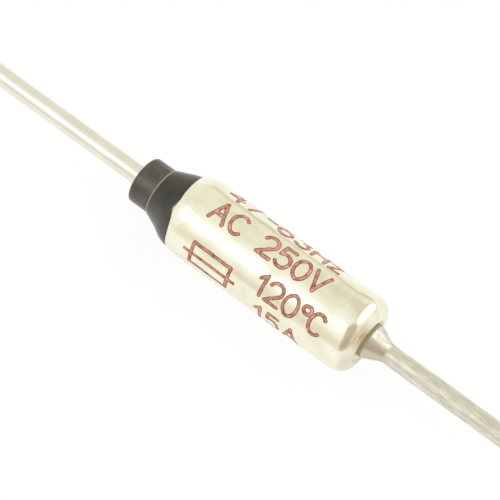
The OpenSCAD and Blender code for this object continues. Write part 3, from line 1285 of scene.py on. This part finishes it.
@dataclass
class Studio:
    """Pale floor, soft surroundings with lit screens, one soft box, and the camera."""

    floor_z: float = -2.0
    floor_size: float = 1200.0
    floor_colour: str = "#f6f6f4"
    # Share of plain white in the floor, as the view sees it and as the metal mirrors it, and its strength.
    floor_glow: Point = (0.88, 0.76)
    floor_white: float = 1.03
    # The white backdrop, and its share over the surroundings, in the same order.
    backdrop: str = "#ffffff"
    backdrop_glow: Point = (1.0, 0.06)
    # The surroundings' colours, by the height of the way that one looks.
    sky: tuple[tuple[float, str], ...] = ((0.0, "#f1ede0"), (0.06, "#f3f0e5"), (0.9, "#f0eee2"))
    box_size: float = 170.0
    box_distance: float = 340.0
    box_from: Corner = (-0.45, -0.47, 0.76)
    box_power: float = 0.02
    patches: tuple[SkyPatch, ...] = (
        # A dim wall in front, low down.
        SkyPatch((-0.26, -0.93, 0.31), 5, 16, "#e8e2d4", 1.0),
        # The foot of the wall behind.
        SkyPatch((-0.26, 0.96, 0.02), 4, 11, "#d6d2bf", 1.0),
        # The main screen, up and towards the sealed lead, and the lamp that shines through it.
        SkyPatch((-0.45, -0.45, 0.77), 14, 47, "#ffffff", 1.0),
        SkyPatch((-0.45, -0.48, 0.75), 8, 24, "#ffffff", 1.35),
        # A second screen with its frame, behind and towards the case lead.
        SkyPatch((0.40, 0.66, 0.63), 34, 41, "#ddd9c9", 1.0),
        SkyPatch((0.46, 0.39, 0.80), 15, 21, "#ffffff", 1.5),
        SkyPatch((0.40, 0.66, 0.63), 18, 24, "#ffffff", 1.5),
        SkyPatch((0.33, 0.86, 0.40), 15, 21, "#ffffff", 1.5),
        # A pale wall past the case lead.
        SkyPatch((0.90, 0.35, 0.26), 18, 36, "#fffaf0", 1.05),
        # A dull warm shape round the view, which darkens the closed end.
        SkyPatch((0.42, -0.44, 0.79), 20, 31, "#cbb9a9", 1.0),
        SkyPatch((0.48, -0.79, 0.36), 13, 29, "#c0ae9c", 1.0),
    )

    def white_share(self, tree: bpy.types.NodeTree, glow: Point) -> bpy.types.NodeSocket:
        """Gives the share of plain white that a ray sees.

        Args:
            tree: The node tree of the floor or the surroundings.
            glow: The share for the view and what is seen through glass, and the share that metal mirrors.

        Returns:
            The share, from 0 to 1.
        """
        path = add_node(tree, "ShaderNodeLightPath").outputs
        viewed, mirrored = glow
        share = add_node(tree, "ShaderNodeMath", {"operation": "ADD"},
                         {0: path["Is Camera Ray"], 1: path["Is Transmission Ray"]}).outputs[0]
        share = add_node(tree, "ShaderNodeMath", {"operation": "MULTIPLY", 1: viewed},
                         {0: share}).outputs[0]
        return add_node(tree, "ShaderNodeMath",
                        {"operation": "MULTIPLY_ADD", "use_clamp": True, 1: mirrored},
                        {0: path["Is Glossy Ray"], 2: share}).outputs[0]

    def build_floor(self) -> None:
        """Lays the pale floor, which shows almost white and keeps a soft shadow."""
        half, z = self.floor_size / 2 * MM, self.floor_z * MM
        points = np.array([[-half, -half, z], [half, -half, z], [half, half, z], [-half, half, z]])
        floor = mesh_object("paper_floor", points, [(0, 1, 2, 3)])
        material, tree = new_material("white_paper")
        share = self.white_share(tree, self.floor_glow)
        paper = add_node(tree, "ShaderNodeBsdfDiffuse", {"Color": linear(self.floor_colour)}).outputs[0]
        glow = add_node(tree, "ShaderNodeEmission", {"Strength": self.floor_white}).outputs[0]
        shown = add_node(tree, "ShaderNodeMixShader", links={"Fac": share, 1: paper, 2: glow}).outputs[0]
        add_node(tree, "ShaderNodeOutputMaterial", links={"Surface": shown})
        floor.data.materials.append(material)

    def build_surroundings(self) -> None:
        """Sets the soft surroundings with their patches, behind a white backdrop for the view."""
        world = bpy.data.worlds.new("soft_surroundings")
        bpy.context.scene.world = world
        world.use_nodes = True
        tree = world.node_tree
        tree.nodes.clear()
        way = add_node(tree, "ShaderNodeTexCoord").outputs["Generated"]
        height = add_node(tree, "ShaderNodeSeparateXYZ", links={0: way}).outputs["Z"]
        stops = [(level, linear(colour)) for level, colour in self.sky]
        seen = add_node(tree, "ShaderNodeValToRGB", {"stops": stops}, {"Fac": height}).outputs["Color"]
        for patch in self.patches:
            facing = add_node(tree, "ShaderNodeVectorMath",
                              {"operation": "DOT_PRODUCT", 1: Vector(patch.toward).normalized()},
                              {0: way}).outputs["Value"]
            edge, core = (math.cos(math.radians(angle)) for angle in (patch.edge_deg, patch.core_deg))
            share = add_node(tree, "ShaderNodeMapRange",
                             {"interpolation_type": "SMOOTHSTEP", "From Min": edge, "From Max": core},
                             {"Value": facing}).outputs["Result"]
            shown = [part * patch.strength for part in linear(patch.colour)[:3]] + [1.0]
            seen = add_node(tree, "ShaderNodeMix", {"data_type": "RGBA", 7: shown},
                            {"Factor": share, 6: seen}).outputs[2]
        share = self.white_share(tree, self.backdrop_glow)
        seen = add_node(tree, "ShaderNodeMix", {"data_type": "RGBA", 7: linear(self.backdrop)},
                        {"Factor": share, 6: seen}).outputs[2]
        light = add_node(tree, "ShaderNodeBackground", {"Strength": 1.0}, {"Color": seen}).outputs[0]
        add_node(tree, "ShaderNodeOutputWorld", links={"Surface": light})

    def build_box(self) -> None:
        """Hangs the soft box."""
        lamp = bpy.data.lights.new("soft_box", "AREA")
        lamp.shape = "DISK"
        lamp.size = self.box_size * MM
        lamp.energy = self.box_power
        box = bpy.data.objects.new("soft_box", lamp)
        way_to_box = Vector(self.box_from).normalized()
        box.location = way_to_box * self.box_distance * MM
        box.rotation_euler = way_to_box.to_track_quat("Z", "Y").to_euler()
        bpy.context.scene.collection.objects.link(box)

    def build_camera(self) -> None:
        """Sets the camera at the photograph's view."""
        back = Vector(VIEW_BACK)
        data = bpy.data.cameras.new("photo_view")
        data.lens = VIEW_LENS_MM
        data.clip_start = 0.005
        data.clip_end = 10.0
        camera = bpy.data.objects.new("photo_view", data)
        camera.location = Vector(VIEW_AIM_MM) * MM + back * VIEW_DISTANCE_MM * MM
        camera.rotation_euler = back.to_track_quat("Z", "Y").to_euler()
        bpy.context.scene.collection.objects.link(camera)
        bpy.context.scene.camera = camera

    def build(self) -> None:
        """Sets up the camera, the floor and the light."""
        self.build_camera()
        self.build_floor()
        self.build_surroundings()
        self.build_box()
        bpy.context.scene.view_settings.view_transform = "Standard"


def main() -> None:
    """Builds the fuse's pieces in order, then the studio."""
    logging.basicConfig(level=logging.INFO, format="%(message)s")
    lip = RolledLip()
    case = Case(lip)
    case.build()
    ResinSeal(lip).build()
    Bushing(lip).build()
    leads = Leads(case)
    leads.build_sealed()
    leads.build_case_lead()
    RatingPrint(case).build()
    InnerStack().dress()
    Studio().build()


if __name__ == "__main__":
    main()
